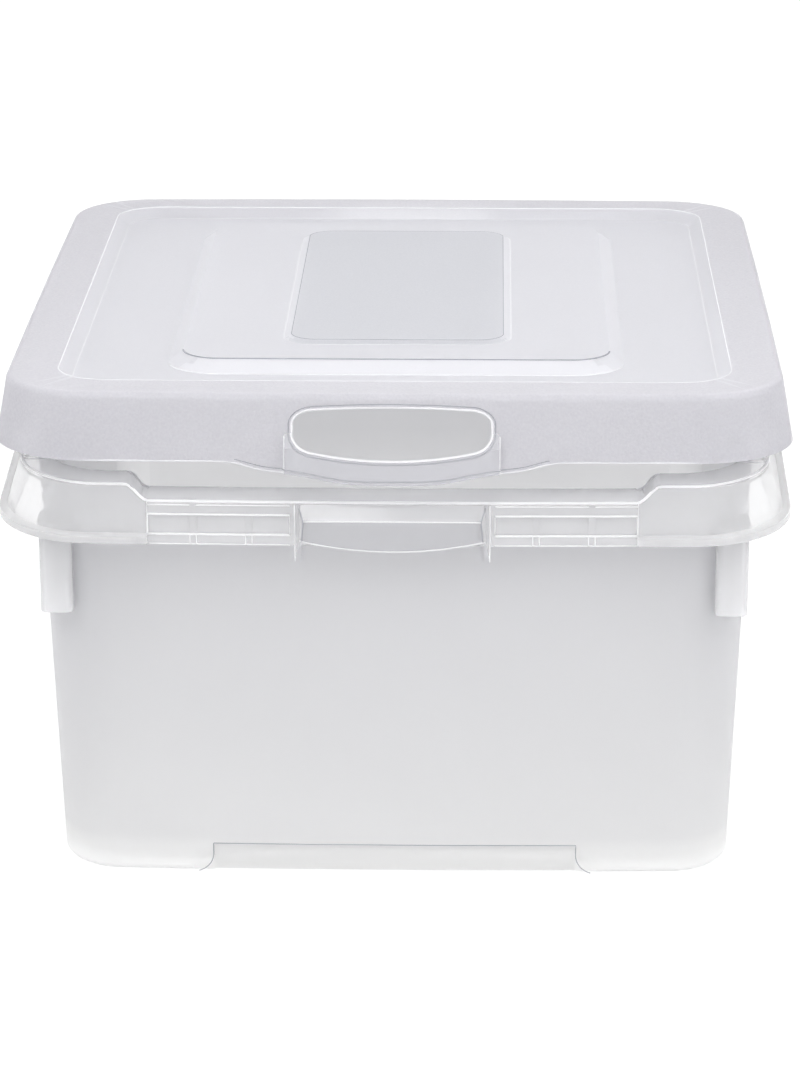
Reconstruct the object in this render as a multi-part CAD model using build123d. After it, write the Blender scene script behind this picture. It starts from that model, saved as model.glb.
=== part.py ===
from build123d import *
import math
import os

# Clear storage box with a lid that is latched at the rear and raised at the front
# Millimetres, Z up, front is -Y, origin at the middle of the base on the table

# Footprint of lid and ledge
BOX_W = 300.0
BOX_D = 352.0
BOX_R = 38.0
BOW_SIDE = 0.6
BOW_FRONT = 2.5

# Tub wall and floor
LEDGE_REACH_X = 20.25
LEDGE_REACH_Y = 23.25
BASE_W = BOX_W - 2 * LEDGE_REACH_X
BASE_D = BOX_D - 2 * LEDGE_REACH_Y
BASE_R = 24.0
WALL = 2.0
DRAFT = 2.1
FLOOR_TOP = 3.0
FLOOR_FILLET = 9.0
BASE_FILLET = 3.0
RELIEF_HALF = 70.0
RELIEF_FLARE = 8.0
RELIEF_TOP = 12.3
RELIEF_IN = 1.2
RELIEF_UP = 1.0
RELIEF_DEEP = 20.0

# Collar and ledge round the mouth
LEDGE_TOP = 148.0
LEDGE_THICK = 2.8
COLLAR_TALL = 19.0
STEP_DOWN = 6.0
RIM_TOP = LEDGE_TOP + COLLAR_TALL
RIM_LOW = RIM_TOP - STEP_DOWN
RIM_THICK = 2.0
LEDGE_WIDE_X = 2.8
LEDGE_WIDE_Y = 4.4
COLLAR_X = BOX_W / 2 - LEDGE_WIDE_X
COLLAR_Y = BOX_D / 2 - LEDGE_WIDE_Y
COLLAR_R = 36.0
COLLAR_LEAN_X = 5.7
COLLAR_LEAN_Y = 1.6
RIM_X = COLLAR_X - COLLAR_LEAN_X
RIM_Y = COLLAR_Y - COLLAR_LEAN_Y
RIM_R = 31.0
RIM_EDGE = 1.0
STEP_X = 90.5
STEP_RUN = 9.0
BEAD_OUT = 0.6
PANEL_FROM = 38.0
PANEL_TO = 91.0
PANEL_TALL = 7.6
PANEL_TOP = LEDGE_TOP + PANEL_TALL
PANEL_DEEP = 0.7
BAND_PROUD = 0.1
BAND_TALL = 4.3
BAND_Y = COLLAR_Y + BAND_PROUD
BAND_BOTTOM = LEDGE_TOP - BAND_TALL
BAND_RIBS = (53.3, 74.0)
RIB_THICK = 2.4
RIB_DEEP = 5.0

# Latch bulge at the middle of the front and of the rear
BULGE_HALF = 34.5
BULGE_SLANT = 2.0
CREST_OUT = 3.9
CREST_UP = 6.6
BULGE_DOWN = 6.5
BULGE_END_DOWN = 2.0
CREST_Y = COLLAR_Y + CREST_OUT
CREST_Z = LEDGE_TOP + CREST_UP
BULGE_FOOT_Y = COLLAR_Y
BULGE_FOOT_Z = LEDGE_TOP - BULGE_DOWN
BULGE_END_Z = LEDGE_TOP - BULGE_END_DOWN
POST_OUT = 0.6
POST_X = BULGE_HALF + POST_OUT
POST_DOWN = 10.7
POST_BOTTOM = LEDGE_TOP - POST_DOWN
POST_DEEP = 8.0

# Corner legs under the ledge
LEG_IN_X = 13.8
LEG_IN_Y = 14.1
LEG_X = COLLAR_X - LEG_IN_X
LEG_Y = COLLAR_Y - LEG_IN_Y
LEG_WIDE = 12.2
LEG_LONG = 15.0
LEG_TALL = 37.6
LEG_BOTTOM = LEDGE_TOP - LEG_TALL
LEG_WALL = 1.8
LEG_R = 3.0

# Lid, heights counted from the bottom edge of its skirt
LID_H = 25.0
LID_WALL = 2.0
LID_INSET = 4.3
LID_EDGE = 3.0
SHOULDER_RINGS = 5
LID_GAP = 0.4
BORDER_X = 23.5
BORDER_Y = 24.0
RECESS_X = BOX_W / 2 - BORDER_X
RECESS_Y = BOX_D / 2 - BORDER_Y
RECESS_R = 15.0
RECESS_DEEP = 4.0
RECESS_SLOPE = 5.0
PLATEAU_IN_X = 45.0
PLATEAU_IN_FRONT = 34.0
PLATEAU_IN_REAR = 32.0
PLATEAU_X = RECESS_X - PLATEAU_IN_X
PLATEAU_FRONT = RECESS_Y - PLATEAU_IN_FRONT
PLATEAU_REAR = RECESS_Y - PLATEAU_IN_REAR
PLATEAU_R = 15.0
PLATEAU_UP = 3.8
PLATEAU_SLOPE = 5.5
PLATEAU_SLOPE_FRONT = 9.0
PAD_IN_X = 40.5
PAD_IN_FRONT = 26.0
PAD_IN_REAR = 20.0
PAD_X = PLATEAU_X - PAD_IN_X
PAD_FRONT = PLATEAU_FRONT - PAD_IN_FRONT
PAD_REAR = PLATEAU_REAR - PAD_IN_REAR
PAD_R = 10.0
PAD_UP = 1.3
PAD_SLOPE = 3.0

# Window and tongue in the front and rear of the skirt
WINDOW_X = 37.0
WINDOW_TOP = 20.3
WINDOW_TOP_END = 18.8
WINDOW_BOTTOM = 0.9
WINDOW_BOTTOM_END = 5.7
WINDOW_R = 7.0
TONGUE_HALF = 62.0
TONGUE_CURVE = ((47.6, 2.9), (38.0, 3.9), (18.9, 7.4))
TONGUE_DOWN = 8.1
FLARE_HALF = 39.5
FLARE_WALL = 3.0
FLARE_OUT = 2.0
FLARE_TOP = 11.0
FLARE_FULL = 6.0

# Way the lid turns
HINGE_IN = 0.5
HINGE_ABOVE = 0.6
HINGE_Y = CREST_Y - HINGE_IN
HINGE_Z = CREST_Z + HINGE_ABOVE
TILT = 4.8

LID_SLOPE = LID_INSET / LID_H
BOTH_ENDS = (1, -1)


def outline(half_x, half_y, radius):
    """Rounded rectangle whose four sides bow outward a little."""
    corner_x = half_x - BOW_SIDE
    corner_y = half_y - BOW_FRONT
    with BuildSketch() as sketch:
        with BuildLine():
            ThreePointArc((-corner_x, -corner_y), (0, -half_y), (corner_x, -corner_y))
            ThreePointArc((corner_x, -corner_y), (half_x, 0), (corner_x, corner_y))
            ThreePointArc((corner_x, corner_y), (0, half_y), (-corner_x, corner_y))
            ThreePointArc((-corner_x, corner_y), (-half_x, 0), (-corner_x, -corner_y))
        make_face()
        fillet(sketch.vertices(), radius)
    return sketch.sketch


def between(low, low_z, high, high_z):
    """Solid with straight sloping sides between two level outlines."""
    return loft([Pos(0, 0, low_z) * low, Pos(0, 0, high_z) * high], ruled=True)


def block(x_low, x_high, y_low, y_high, z_low, z_high):
    """Box given by its six faces."""
    middle = ((x_low + x_high) / 2, (y_low + y_high) / 2, (z_low + z_high) / 2)
    return Pos(*middle) * Box(x_high - x_low, y_high - y_low, z_high - z_low)


def across_x(face_yz, half_x):
    """Solid made by drawing a Y-Z outline out to both sides of the middle."""
    return extrude(Plane.YZ * face_yz, amount=half_x, both=True)


def across_y(face_xz, y_from, y_to):
    """Solid made by drawing an X-Z outline from one Y to another."""
    plane = Plane(origin=(0, y_from, 0), x_dir=(1, 0, 0), z_dir=(0, -1, 0))
    return extrude(plane * face_xz, amount=y_from - y_to)


def front_and_rear(shape):
    """The shape and its mirror image behind the middle of the box."""
    return shape + mirror(shape, about=Plane.XZ)


def wall_level(z, inset):
    """Outline of the tub wall at a height, moved in by inset."""
    grow = z * math.tan(math.radians(DRAFT)) - inset
    return outline(BASE_W / 2 + grow, BASE_D / 2 + grow, BASE_R + grow)


def tapered_wall(z_low, z_high, inset):
    """Solid filling the tub wall's outline between two heights, moved in by inset."""
    return extrude(Pos(0, 0, z_low) * wall_level(z_low, inset), z_high - z_low, taper=-DRAFT)


def tub_wall():
    """Tapered outside of the tub with its rounded bottom edge."""
    body = tapered_wall(0, RIM_TOP, 0)
    return fillet(body.faces().sort_by(Axis.Z)[0].edges(), BASE_FILLET)


def tub_cavity():
    """Room inside the tub, rounded where the floor meets the wall."""
    body = tapered_wall(FLOOR_TOP, RIM_TOP + 1, WALL)
    return fillet(body.faces().sort_by(Axis.Z)[0].edges(), FLOOR_FILLET)


def collar_body(inset, bottom, top):
    """Sloping collar, moved in by inset, from a height up to its top with a bevelled edge."""
    low = outline(COLLAR_X - inset, COLLAR_Y - inset, COLLAR_R - inset)
    high = outline(RIM_X - inset, RIM_Y - inset, RIM_R - inset)
    edge = outline(RIM_X - inset - RIM_EDGE, RIM_Y - inset - RIM_EDGE, RIM_R - inset - RIM_EDGE)
    slope = between(low, LEDGE_TOP, high, top - RIM_EDGE)
    bevel = between(high, top - RIM_EDGE, edge, top)
    return slope + bevel + extrude(Pos(0, 0, bottom) * low, LEDGE_TOP - bottom)


def rim_step(z_low):
    """Space above the low middle part of the rim, with an S curve at each end."""
    z_high = z_low + RIM_TOP - RIM_LOW
    end = STEP_X + STEP_RUN
    above = RIM_TOP + 10
    with BuildSketch() as sketch:
        with BuildLine():
            Line((-STEP_X, z_low), (STEP_X, z_low))
            Spline((STEP_X, z_low), (end, z_high), tangents=((1, 0), (1, 0)))
            Polyline((end, z_high), (end, above), (-end, above), (-end, z_high))
            Spline((-end, z_high), (-STEP_X, z_low), tangents=((1, 0), (1, 0)))
        make_face()
    return across_y(sketch.sketch, BOX_D, -BOX_D)


def latch_bulge(inset):
    """Catch in the middle of the front: a ramp, a crest and a panel under it."""
    back = -RIM_Y + 6
    crest = -CREST_Y + inset
    foot = -BULGE_FOOT_Y + inset
    top = RIM_LOW - inset
    with BuildSketch() as side:
        with BuildLine():
            Polyline((back, top), (-RIM_Y + inset, top), (crest, CREST_Z), (foot, POST_BOTTOM))
            Polyline((foot, POST_BOTTOM), (back, POST_BOTTOM), (back, top))
        make_face()
    half = BULGE_HALF - inset
    with BuildSketch() as plan:
        with BuildLine():
            Polyline((-half, back), (-half, foot), (-half + BULGE_SLANT, crest - 1))
            Polyline((-half + BULGE_SLANT, crest - 1), (half - BULGE_SLANT, crest - 1), (half, foot))
            Polyline((half, foot), (half, back), (-half, back))
        make_face()
    body = across_x(side.sketch, BOX_W / 2)
    return body & extrude(Pos(0, 0, POST_BOTTOM) * plan.sketch, RIM_TOP - POST_BOTTOM)


def bulge_bottom():
    """Everything under the bowed lower edge of the bulge."""
    half = BULGE_HALF + 1
    with BuildSketch() as sketch:
        with BuildLine():
            ThreePointArc((-half, BULGE_END_Z), (0, BULGE_FOOT_Z), (half, BULGE_END_Z))
            Polyline((half, BULGE_END_Z), (half, 0), (-half, 0), (-half, BULGE_END_Z))
        make_face()
    return across_y(sketch.sketch, -COLLAR_Y + WALL, -BOX_D)


def corner_leg():
    """Hollow leg on one front corner, open at its bottom."""
    top = LEDGE_TOP - LEDGE_THICK / 2
    middle = Pos(LEG_X - LEG_WIDE / 2, -LEG_Y + LEG_LONG / 2, LEG_BOTTOM)
    outer = extrude(middle * RectangleRounded(LEG_WIDE, LEG_LONG, LEG_R), top - LEG_BOTTOM)
    room = RectangleRounded(LEG_WIDE - 2 * LEG_WALL, LEG_LONG - 2 * LEG_WALL, LEG_R - LEG_WALL)
    return outer - extrude(middle * room, top - WALL - LEG_BOTTOM)


def base_relief():
    """Shallow room between the feet in the front of the base and under it."""
    low = RELIEF_HALF + RELIEF_FLARE
    with BuildSketch() as sketch:
        with BuildLine():
            Line((-low, 0), (low, 0))
            RadiusArc((low, 0), (RELIEF_HALF, RELIEF_FLARE), -RELIEF_FLARE)
            Polyline((RELIEF_HALF, RELIEF_FLARE), (RELIEF_HALF, RELIEF_TOP), (-RELIEF_HALF, RELIEF_TOP))
            Line((-RELIEF_HALF, RELIEF_TOP), (-RELIEF_HALF, RELIEF_FLARE))
            RadiusArc((-RELIEF_HALF, RELIEF_FLARE), (-low, 0), -RELIEF_FLARE)
        make_face()
    window = across_y(sketch.sketch, -BASE_D / 4, -BASE_D)
    return window & (tapered_wall(0, RELIEF_TOP, -1) - tapered_wall(0, RELIEF_TOP, RELIEF_IN))


def make_tub():
    """Tub with collar, ledge, latch bulges, ribs, legs and feet in one moulding."""
    ledge_low = LEDGE_TOP - LEDGE_THICK
    wall = tub_wall()

    collar = collar_body(0, ledge_low, RIM_TOP)
    collar += extrude(Pos(0, 0, ledge_low) * outline(BOX_W / 2, BOX_D / 2, BOX_R), LEDGE_THICK)
    hollow = collar_body(WALL, POST_BOTTOM, RIM_TOP - RIM_THICK) - rim_step(RIM_LOW - RIM_THICK)

    # Ledge set back in the middle, where the tongue of the lid hangs lower
    middle = block(-PANEL_TO, PANEL_TO, -BOX_D, -BASE_D / 2, BAND_BOTTOM, LEDGE_TOP)
    band_outer = extrude(Pos(0, 0, BAND_BOTTOM) * outline(BOX_W / 2, BAND_Y, BOX_R), LEDGE_TOP - BAND_BOTTOM)
    collar -= front_and_rear(middle - band_outer)
    collar += front_and_rear(middle & band_outer)

    # Bead under the low rim, and shallow panels on each side of the latch bulge
    bead = block(-PANEL_TO, PANEL_TO, -BOX_D, -BASE_D / 2, PANEL_TOP, RIM_LOW)
    collar += front_and_rear(bead & collar_body(-BEAD_OUT, LEDGE_TOP - 1, RIM_TOP))
    for side in BOTH_ENDS:
        x_low, x_high = sorted((side * PANEL_FROM, side * PANEL_TO))
        panel = block(x_low, x_high, -BOX_D, -BASE_D / 2, LEDGE_TOP, PANEL_TOP)
        panel -= collar_body(PANEL_DEEP, LEDGE_TOP - 1, RIM_TOP)
        collar -= front_and_rear(panel)

    bulge = latch_bulge(0) - bulge_bottom()
    collar += front_and_rear(bulge)
    collar -= hollow
    collar -= front_and_rear(latch_bulge(WALL))

    # Posts beside the bulge and small ribs behind the band
    ribs = [(POST_X, -BULGE_FOOT_Y, POST_DEEP, POST_BOTTOM)]
    for rib_x in BAND_RIBS:
        ribs.append((rib_x, -BAND_Y + WALL / 2, RIB_DEEP, BAND_BOTTOM))
    for x, front, deep, bottom in ribs:
        for side in BOTH_ENDS:
            left = side * x - RIB_THICK / 2
            rib = block(left, left + RIB_THICK, front, front + deep, bottom, RIM_LOW - 1)
            collar += front_and_rear(rib)

    tub = collar + wall
    for side in BOTH_ENDS:
        leg = corner_leg() if side == 1 else mirror(corner_leg(), about=Plane.YZ)
        tub += front_and_rear(leg)
    tub -= rim_step(RIM_LOW)
    tub -= tub_cavity()
    tub -= front_and_rear(base_relief())
    edge = -BASE_D / 2 + RELIEF_DEEP
    under = block(-RELIEF_HALF, RELIEF_HALF, edge - BASE_D, edge, -1, RELIEF_UP)
    return tub - front_and_rear(under)


def lid_level(z, inset):
    """Outline of the lid skirt at a height, moved in by inset."""
    grow = -z * LID_SLOPE - inset
    return outline(BOX_W / 2 + grow, BOX_D / 2 + grow, BOX_R + grow)


def raised(half_x, front, rear, radius, slopes, z_low, z_high, inset):
    """Raised field with sloping sides, given by its top outline."""
    slope_side, slope_front = slopes
    top_depth = front + rear - 2 * inset
    low_depth = top_depth + slope_front + slope_side
    shift = (rear - front) / 2
    top = Pos(0, shift) * RectangleRounded(2 * (half_x - inset), top_depth, radius - inset)
    low_shift = shift - (slope_front - slope_side) / 2
    low = Pos(0, low_shift) * RectangleRounded(
        2 * (half_x + slope_side - inset), low_depth, radius + slope_side - inset
    )
    return between(low, z_low, top, z_high)


def rounded_shoulder(z_low):
    """Rounded upper edge of the lid, as rings that lean in more and more."""
    body = None
    for step in range(SHOULDER_RINGS):
        levels = []
        for angle in (step, step + 1):
            turn = math.radians(90 * angle / SHOULDER_RINGS)
            inset = LID_EDGE * (1 - math.cos(turn))
            levels.append((lid_level(z_low, inset), z_low + LID_EDGE * math.sin(turn)))
        ring = between(*levels[0], *levels[1])
        body = ring if body is None else body + ring
    return body


def lid_form(inset):
    """Solid under the top face of the lid; with an inset, its inside."""
    bottom = -TONGUE_DOWN - 1
    top = LID_H - inset
    if inset == 0:
        shoulder = top - LID_EDGE
        body = between(lid_level(bottom, 0), bottom, lid_level(shoulder, 0), shoulder)
        body += rounded_shoulder(shoulder)
    else:
        body = between(lid_level(bottom, inset), bottom, lid_level(top, inset), top)
    floor = top - RECESS_DEEP
    recess_low = RectangleRounded(
        2 * (RECESS_X - RECESS_SLOPE + inset), 2 * (RECESS_Y - RECESS_SLOPE + inset), RECESS_R
    )
    recess_high = RectangleRounded(2 * (RECESS_X + inset), 2 * (RECESS_Y + inset), RECESS_R + RECESS_SLOPE)
    body -= between(recess_low, floor, recess_high, top)
    plateau_top = floor + PLATEAU_UP
    plateau_slopes = (PLATEAU_SLOPE, PLATEAU_SLOPE_FRONT)
    body += raised(
        PLATEAU_X, PLATEAU_FRONT, PLATEAU_REAR, PLATEAU_R, plateau_slopes, floor, plateau_top, inset
    )
    pad_slopes = (PAD_SLOPE, PAD_SLOPE)
    body += raised(
        PAD_X, PAD_FRONT, PAD_REAR, PAD_R, pad_slopes, plateau_top, plateau_top + PAD_UP, inset
    )
    return body


def flare(inset, half_x, reach_in):
    """Thick part round the foot of the window, bowed out over the catch."""
    bottom = -TONGUE_DOWN
    full = -BOX_D / 2 - FLARE_OUT + inset
    start = -BOX_D / 2 + FLARE_TOP * LID_SLOPE + inset
    back_top = -BOX_D / 2 + FLARE_TOP * LID_SLOPE + reach_in
    back_low = -BOX_D / 2 + bottom * LID_SLOPE + reach_in
    with BuildSketch() as side:
        with BuildLine():
            Polyline((back_top, FLARE_TOP), (start, FLARE_TOP), (full, FLARE_FULL), (full, bottom))
            Polyline((full, bottom), (back_low, bottom), (back_top, FLARE_TOP))
        make_face()
    return across_x(side.sketch, half_x)


def below_skirt():
    """Everything under the bottom edge of the skirt and its two tongues."""
    reach = BOX_W
    left = [(-x, -drop) for x, drop in TONGUE_CURVE]
    right = [(x, -drop) for x, drop in reversed(TONGUE_CURVE)]
    points = [(-TONGUE_HALF, 0), *left, (0, -TONGUE_DOWN), *right, (TONGUE_HALF, 0)]
    with BuildSketch() as sketch:
        with BuildLine():
            Spline(*points, tangents=((1, 0), (1, 0)))
            Polyline((TONGUE_HALF, 0), (reach, 0), (reach, -reach), (-reach, -reach))
            Polyline((-reach, -reach), (-reach, 0), (-TONGUE_HALF, 0))
        make_face()
    return across_y(sketch.sketch, BOX_D, -BOX_D)


def window():
    """Bowed opening through the front of the skirt."""
    with BuildSketch() as sketch:
        with BuildLine():
            ThreePointArc((-WINDOW_X, WINDOW_BOTTOM_END), (0, WINDOW_BOTTOM), (WINDOW_X, WINDOW_BOTTOM_END))
            Line((WINDOW_X, WINDOW_BOTTOM_END), (WINDOW_X, WINDOW_TOP_END))
            ThreePointArc((WINDOW_X, WINDOW_TOP_END), (0, WINDOW_TOP), (-WINDOW_X, WINDOW_TOP_END))
            Line((-WINDOW_X, WINDOW_TOP_END), (-WINDOW_X, WINDOW_BOTTOM_END))
        make_face()
        fillet(sketch.vertices(), WINDOW_R)
    return across_y(sketch.sketch, -RECESS_Y - 2 * RECESS_SLOPE, -BOX_D)


def make_lid():
    """Lid in its raised pose, its rear tongue over the rear catch."""
    lid = lid_form(0) - lid_form(LID_WALL)
    lid += front_and_rear(flare(0, FLARE_HALF, LID_WALL))
    lid -= front_and_rear(flare(LID_WALL, FLARE_HALF - FLARE_WALL, 4 * LID_WALL))
    lid -= front_and_rear(window())
    lid -= below_skirt()
    lid = Pos(0, 0, LEDGE_TOP + LID_GAP) * lid
    return lid.rotate(Axis((0, HINGE_Y, HINGE_Z), (-1, 0, 0)), TILT)


os.makedirs("parts", exist_ok=True)
for name, solid in (("tub", make_tub()), ("lid", make_lid())):
    solid.label = name
    export_step(solid, f"parts/{name}.step")
    box = solid.bounding_box()
    print(name, "solids", len(solid.solids()), "volume", round(solid.volume), box.min, box.max)
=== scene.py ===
"""Looks of a clear storage tub whose frosted lid is hooked on at the rear and raised at the front.

Lengths are millimetres in the classes and metres in the meshes. +Z is up and -Y is the front.
"""

import logging
import math
from dataclasses import dataclass, replace
from enum import Enum

import bmesh
import bpy
import numpy as np
from mathutils import Matrix, Vector


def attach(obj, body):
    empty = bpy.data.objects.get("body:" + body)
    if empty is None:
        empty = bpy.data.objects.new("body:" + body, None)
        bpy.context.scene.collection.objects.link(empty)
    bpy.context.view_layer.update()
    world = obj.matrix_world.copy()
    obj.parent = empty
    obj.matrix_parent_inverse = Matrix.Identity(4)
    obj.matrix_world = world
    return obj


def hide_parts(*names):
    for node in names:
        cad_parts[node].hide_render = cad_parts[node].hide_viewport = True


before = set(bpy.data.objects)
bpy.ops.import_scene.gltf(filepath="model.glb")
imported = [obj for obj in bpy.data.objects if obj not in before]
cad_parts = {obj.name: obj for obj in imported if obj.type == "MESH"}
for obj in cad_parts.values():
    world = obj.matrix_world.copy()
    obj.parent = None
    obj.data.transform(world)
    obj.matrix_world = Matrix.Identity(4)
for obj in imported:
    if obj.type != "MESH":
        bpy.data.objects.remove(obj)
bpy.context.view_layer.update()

log = logging.getLogger("storage_box")

Tree = bpy.types.NodeTree
Socket = bpy.types.NodeSocket

MM = 0.001
WHITE = (1.0, 1.0, 1.0, 1.0)

# Weight that lets the largest faces decide the shading where smooth faces meet.
LARGE_FACES_LEAD = 100

# Bow of the moulded sides, and of the front and rear, at their middles.
BOW_SIDE = 0.6
BOW_FRONT = 2.5

# How far the middle of an edge's bead lies behind the face that it runs on.
SHALLOW = 0.05
SINK = 0.1
DEEP = 0.15

# Way across a path that runs on an upright face, and the mirrors that repeat a path.
UPRIGHT = (0.0, 1.0, 0.0)
MIRROR_X = np.array([-1.0, 1.0, 1.0])
MIRROR_Y = np.array([1.0, -1.0, 1.0])


def linear(hex_code: str) -> tuple[float, float, float, float]:
    """Turn an sRGB hex colour into the linear colour that shaders use.

    A channel up to 0.04045 is divided by 12.92, and a higher one follows the 2.4 power curve.

    Args:
        hex_code: Six hex digits, with or without a leading hash.

    Returns:
        Linear red, green and blue, and an alpha of 1.
    """
    digits = hex_code.lstrip("#")
    channels = np.array([int(digits[i : i + 2], 16) / 255 for i in (0, 2, 4)])
    low = channels / 12.92
    high = ((channels + 0.055) / 1.055) ** 2.4
    red, green, blue = np.where(channels <= 0.04045, low, high)
    return float(red), float(green), float(blue), 1.0


def show(name: str, data: bpy.types.ID) -> bpy.types.Object:
    """Put a mesh, a lamp or a camera into the scene, with its object at the origin."""
    thing = bpy.data.objects.new(name, data)
    bpy.context.scene.collection.objects.link(thing)
    return thing


def add_node(
    tree: Tree, kind: str, settings: dict | None = None, inputs: dict | None = None
) -> bpy.types.Node:
    """Add one node with its settings, socket values and links.

    Args:
        tree: Node tree that gets the node.
        kind: Blender's name for the node type.
        settings: Attributes to set on the node.
        inputs: Socket name or number to a value, or to an output socket to link from.

    Returns:
        The new node.
    """
    node = tree.nodes.new(kind)
    for name, value in (settings or {}).items():
        setattr(node, name, value)
    for name, value in (inputs or {}).items():
        socket = node.inputs[name]
        if isinstance(value, Socket):
            tree.links.new(value, socket)
        else:
            socket.default_value = value
    return node


class Grain(Enum):
    """How the mould's surface left the plastic."""

    POLISHED = "polished"
    SATIN = "satin"
    SPARKED = "sparked"


# How far the milkiness swings with the grain, and how strongly the grain turns the light.
SPECKLE = {Grain.SATIN: 0.12, Grain.SPARKED: 0.26}
GRAIN_RELIEF = {Grain.SATIN: 0.5, Grain.SPARKED: 1.0}


@dataclass(frozen=True)
class MouldedPolypropylene:
    """Injection-moulded natural polypropylene: see-through, a little milky, with a soft gloss.

    The clear share passes light with the bend of polypropylene. The milky share scatters it, which
    gives the eye the pale grey veil, denser where the wall is seen at a slant.
    """

    name: str
    milkiness: float
    slant_milkiness: float
    roughness: float
    body: str = "#FAFAFB"
    veil: str = "#E2E2E4"
    # Painted light: a veil that changes with height, and a painted shade kept to the middle when
    # set.
    painted_light_by_height: tuple[tuple[float, str], ...] = ()
    painted_shade_half_mm: tuple[float, float] | None = None
    grain: Grain = Grain.POLISHED
    grain_mm: float = 1.0
    grain_depth_mm: float = 0.08
    pit_range: tuple[float, float] = (0.3, 0.7)
    wave_mm: float = 25.0
    wave_depth_mm: float = 0.15
    wave_strength: float = 0.06
    flow_mm: float = 60.0
    cloud_swing: tuple[float, float] = (0.9, 1.1)
    roughness_swing: tuple[float, float] = (0.93, 1.07)
    slant_blend: float = 0.25
    passed_on: float = 0.5
    ior: float = 1.49

    def build(self) -> bpy.types.Material:
        """Make the material.

        Returns:
            The finished material.
        """
        material = bpy.data.materials.new(self.name)
        material.use_nodes = True
        tree = material.node_tree
        tree.nodes.clear()
        place = add_node(tree, "ShaderNodeTexCoord").outputs["Object"]
        flow = self._flow(tree, place)
        surface = self._surface(tree, place)
        clear = self._clear(tree, flow, surface)
        colour = self._painted_light_veil(tree, place) if self.painted_light_by_height else linear(self.veil)
        cast = {"Color": colour, "Normal": surface}
        diffuse = add_node(tree, "ShaderNodeBsdfDiffuse", inputs=cast)
        through = add_node(tree, "ShaderNodeBsdfTranslucent", inputs=cast)
        milk = add_node(
            tree,
            "ShaderNodeMixShader",
            inputs={0: self.passed_on, 1: diffuse.outputs[0], 2: through.outputs[0]},
        )
        slant = add_node(tree, "ShaderNodeLayerWeight", inputs={"Blend": self.slant_blend})
        veil = add_node(
            tree,
            "ShaderNodeMapRange",
            inputs={
                "Value": slant.outputs["Facing"],
                "To Min": self.milkiness,
                "To Max": self.slant_milkiness,
            },
        )
        amount = add_node(
            tree,
            "ShaderNodeMath",
            settings={"operation": "MULTIPLY", "use_clamp": True},
            inputs={0: veil.outputs["Result"], 1: self._mottle(tree, place, flow)},
        )
        mixed = add_node(
            tree,
            "ShaderNodeMixShader",
            inputs={0: amount.outputs[0], 1: clear.outputs[0], 2: milk.outputs[0]},
        )
        add_node(tree, "ShaderNodeOutputMaterial", inputs={"Surface": mixed.outputs[0]})
        return material

    def _clear(self, tree: Tree, flow: Socket, surface: Socket) -> bpy.types.Node:
        """The share of the plastic that light passes, a little rougher where the flow is denser.

        Args:
            tree: Node tree of the material.
            flow: Clouding, from 0 to 1.
            surface: Bumped normal.

        Returns:
            The shader node.
        """
        low, high = self.roughness_swing
        rough = add_node(
            tree,
            "ShaderNodeMapRange",
            inputs={"Value": flow, "To Min": self.roughness * low, "To Max": self.roughness * high},
        )
        return add_node(
            tree,
            "ShaderNodeBsdfPrincipled",
            inputs={
                "Base Color": linear(self.body),
                "Roughness": rough.outputs["Result"],
                "IOR": self.ior,
                "Transmission Weight": 1.0,
                "Normal": surface,
            },
        )

    def _mottle(self, tree: Tree, place: Socket, flow: Socket) -> Socket:
        """Swing of the milkiness: with the specks of the grain or, when polished, with the flow.

        Args:
            tree: Node tree of the material.
            place: Object coordinates.
            flow: Clouding, from 0 to 1.

        Returns:
            Output socket with a factor near 1.
        """
        if self.grain is Grain.POLISHED:
            low, high = self.cloud_swing
            swing = {"Value": flow, "To Min": low, "To Max": high}
        else:
            speck = SPECKLE[self.grain]
            swing = {
                "Value": self._pits(tree, place),
                "From Min": self.pit_range[0],
                "From Max": self.pit_range[1],
                "To Min": 1 - speck,
                "To Max": 1 + speck,
            }
        return add_node(tree, "ShaderNodeMapRange", inputs=swing).outputs["Result"]

    def _painted_light_veil(self, tree: Tree, place: Socket) -> Socket:
        """Veil that changes with height: painted light, paler near the table, greyer up under the
        lid.

        Where a painted shade is set, it keeps to the middle and fades to the plain veil on both
        sides.

        Args:
            tree: Node tree of the material.
            place: Object coordinates.

        Returns:
            Output socket with the colour.
        """
        top = self.painted_light_by_height[-1][0]
        split = add_node(tree, "ShaderNodeSeparateXYZ", inputs={0: place})
        share = add_node(
            tree, "ShaderNodeMapRange", inputs={"Value": split.outputs["Z"], "From Max": top * MM}
        )
        ramp = add_node(tree, "ShaderNodeValToRGB", inputs={0: share.outputs["Result"]})
        stops = ramp.color_ramp.elements
        while len(stops) < len(self.painted_light_by_height):
            stops.new(0.5)
        for stop, (height, code) in zip(stops, self.painted_light_by_height):
            stop.position = height / top
            stop.color = linear(code)
        if self.painted_shade_half_mm is None:
            return ramp.outputs["Color"]
        start, end = self.painted_shade_half_mm
        aside = add_node(
            tree,
            "ShaderNodeMath",
            settings={"operation": "ABSOLUTE"},
            inputs={0: split.outputs["X"]},
        )
        fade = add_node(
            tree,
            "ShaderNodeMapRange",
            settings={"interpolation_type": "SMOOTHSTEP"},
            inputs={"Value": aside.outputs[0], "From Min": start * MM, "From Max": end * MM},
        )
        faded = add_node(
            tree,
            "ShaderNodeMixRGB",
            inputs={0: fade.outputs["Result"], 1: ramp.outputs["Color"], 2: linear(self.veil)},
        )
        return faded.outputs["Color"]

    def _flow(self, tree: Tree, place: Socket) -> Socket:
        """Slow clouding left by the melt as it filled the mould, from 0 to 1.

        Args:
            tree: Node tree of the material.
            place: Object coordinates.

        Returns:
            Output socket with the clouding.
        """
        scale = 1 / (self.flow_mm * MM)
        noise = add_node(
            tree,
            "ShaderNodeTexNoise",
            inputs={"Vector": place, "Scale": scale, "Detail": 2.0, "Roughness": 0.4},
        )
        return noise.outputs["Fac"]

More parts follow.
